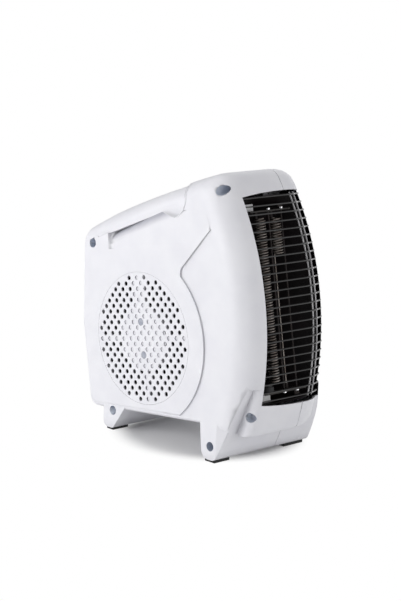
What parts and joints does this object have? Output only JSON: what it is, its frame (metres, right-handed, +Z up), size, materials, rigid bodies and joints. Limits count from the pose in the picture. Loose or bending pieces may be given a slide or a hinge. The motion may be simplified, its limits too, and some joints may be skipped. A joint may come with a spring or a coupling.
{
  "type": "fan heater",
  "caption": "Upright portable fan heater: white rounded case with side intake, carrying bar with finger scoops, black wire guard over wound coils, foot beams with rubber feet.",
  "frame": {"origin": "middle of the overall width and depth, on the floor plane under the rubber feet", "axes": "+Z up, -Y to the front where the warm air leaves, -X to the side with the air intake"},
  "size_m": [0.1338, 0.2236, 0.2525],
  "materials": {
    "white_plastic": "fine satin moulding",
    "black_wire": "black enamel on steel wire",
    "steel": "bright zinc plate",
    "black_plastic": "matt",
    "dark_duct": "dark heat-proof paint",
    "mica": "pale layered mica",
    "heater_wire": "resistance alloy",
    "rubber": "matt black",
    "brass": "plain",
    "red_lens": "clear red",
    "motor_steel": "plated"
  },
  "bodies": {
    "heater": {"intake_shell": "white_plastic", "control_cover": "white_plastic", "intake_grille": "white_plastic", "motor_bracket": "white_plastic", "front_guard": "black_wire", "shell_screws": "steel", "motor_screws": "steel", "blower_scroll": "dark_duct", "motor_can": "motor_steel", "motor_core": "motor_steel", "motor_cap": "motor_steel", "motor_bushes": "brass", "element_top_plate": "mica", "element_bottom_plate": "mica", "element_posts": "steel", "element_rivets": "steel", "element_brackets": "steel", "heating_coils": "heater_wire", "coil_terminals": "steel", "thermal_cutout": "black_plastic", "thermostat_body": "black_plastic", "selector_body": "black_plastic", "pilot_lamp": "red_lens", "terminal_block": "white_plastic", "cord_inlet": "black_plastic", "foot_front_near": "rubber", "foot_front_far": "rubber", "foot_rear_near": "rubber", "foot_rear_far": "rubber"},
    "fan": {"fan_wheel": "black_plastic", "wheel_nut": "brass", "motor_shaft": "steel", "motor_rotor": "motor_steel"},
    "thermostat_dial": {"thermostat_spindle": "steel", "thermostat_knob": "white_plastic"},
    "selector_dial": {"selector_spindle": "steel", "selector_knob": "white_plastic"}
  },
  "joints": [
    {"name": "fan_spin", "type": "hinge", "parent": "heater", "child": "fan", "pos_m": [-0.0259, 0.02041, 0.0954], "axis": [1, 0, 0], "continuous": true},
    {"name": "thermostat_turn", "type": "hinge", "parent": "heater", "child": "thermostat_dial", "pos_m": [0.0541, 0.00772, 0.14665], "axis": [1, 0, 0], "range_deg": [-280, 0]},
    {"name": "selector_turn", "type": "hinge", "parent": "heater", "child": "selector_dial", "pos_m": [0.0541, -0.00456, 0.08181], "axis": [1, 0, 0], "range_deg": [-270, 0]}
  ]
}
